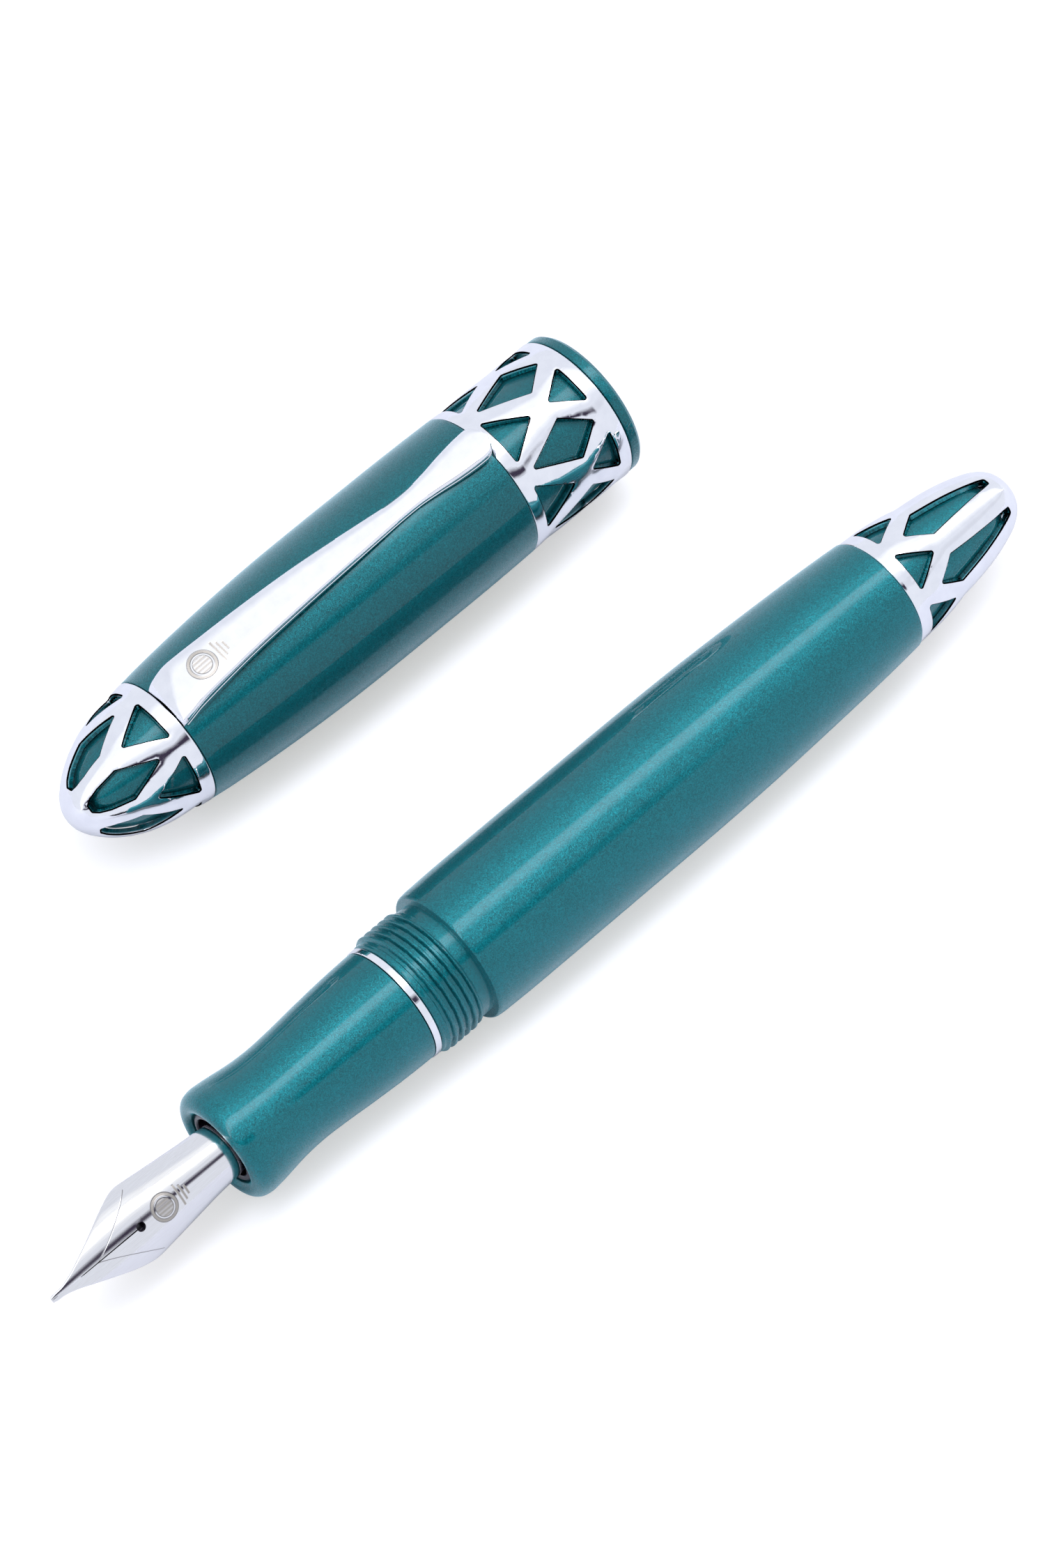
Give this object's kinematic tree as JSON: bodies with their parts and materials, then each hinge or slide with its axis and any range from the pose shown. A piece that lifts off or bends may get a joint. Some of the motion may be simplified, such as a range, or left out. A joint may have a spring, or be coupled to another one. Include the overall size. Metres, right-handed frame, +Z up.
{
  "type": "fountain pen",
  "caption": "Large lacquered fountain pen with openwork metal ends, broad nib, screw thread and piston filler, its clipped screw cap lying beside it.",
  "frame": {"origin": "centre of the bounding box's footprint, at the height of the table that the pen and cap lie on", "axes": "+X along the pen from the nib's point to the tail, +Y across the table towards the cap, +Z up"},
  "size_m": [0.146, 0.059, 0.0213],
  "materials": {
    "teal_lacquer": "high-gloss metal-flake lacquer over brass",
    "chrome": "bright polished plating",
    "steel": "polished stainless steel",
    "brass": "turned, unplated",
    "black_plastic": "moulded, glossy",
    "clear_plastic": "clear, polished"
  },
  "bodies": {
    "barrel": {"barrel_shell": "teal_lacquer", "barrel_sleeve": "brass", "tail_core": "teal_lacquer", "tail_filigree": "chrome", "tail_screw": "steel"},
    "filler": {"filler_mouth": "black_plastic", "filler_tube": "clear_plastic", "filler_collar": "chrome"},
    "section": {"grip_section": "teal_lacquer", "section_ring": "chrome", "section_shank": "brass", "nib_housing": "black_plastic"},
    "nib_unit": {"nib": "steel", "nib_tipping": "steel", "feed": "black_plastic"},
    "knob": {"filler_knob": "black_plastic"},
    "piston": {"filler_piston": "black_plastic", "filler_rod": "steel"},
    "cap": {"cap_body": "teal_lacquer", "cap_dome_core": "teal_lacquer", "cap_dome_filigree": "chrome", "cap_lip_filigree": "chrome", "cap_lip_ring": "teal_lacquer", "cap_thread_insert": "brass", "cap_liner": "black_plastic", "cap_screw": "steel"},
    "clip": {"clip": "chrome"}
  },
  "joints": [
    {"name": "section_travel", "type": "slide", "parent": "barrel", "child": "filler", "axis": [-1, 0, 0], "range_m": [0, 0.004]},
    {"name": "section_turn", "type": "hinge", "parent": "filler", "child": "section", "pos_m": [-0.03497, -0.02089, 0.0086], "axis": [-1, 0, 0], "range_deg": [0, 1801]},
    {"name": "nib_pull", "type": "slide", "parent": "section", "child": "nib_unit", "axis": [-1, 0, 0], "range_m": [0, 0.003]},
    {"name": "knob_turn", "type": "hinge", "parent": "filler", "child": "knob", "pos_m": [0.02504, -0.02089, 0.0086], "axis": [1, 0, 0], "range_deg": [0, 2161]},
    {"name": "piston_travel", "type": "slide", "parent": "filler", "child": "piston", "axis": [-1, 0, 0], "range_m": [0, 0.018]},
    {"name": "cap_draw", "type": "slide", "parent": "barrel", "child": "cap", "axis": [-1, 0, 0], "range_m": [0, 0.06]},
    {"name": "clip_flex", "type": "hinge", "parent": "cap", "child": "clip", "pos_m": [-0.01807, 0.01952, 0.01799], "axis": [0, -0.999, -0.0436], "range_deg": [0, 3], "stiffness_Nm_per_rad": 2}
  ],
  "couplings": [
    {"joint": "section_turn", "follows": "section_travel", "rad_per_m": 7854},
    {"joint": "knob_turn", "follows": "piston_travel", "rad_per_m": 2094.4}
  ]
}
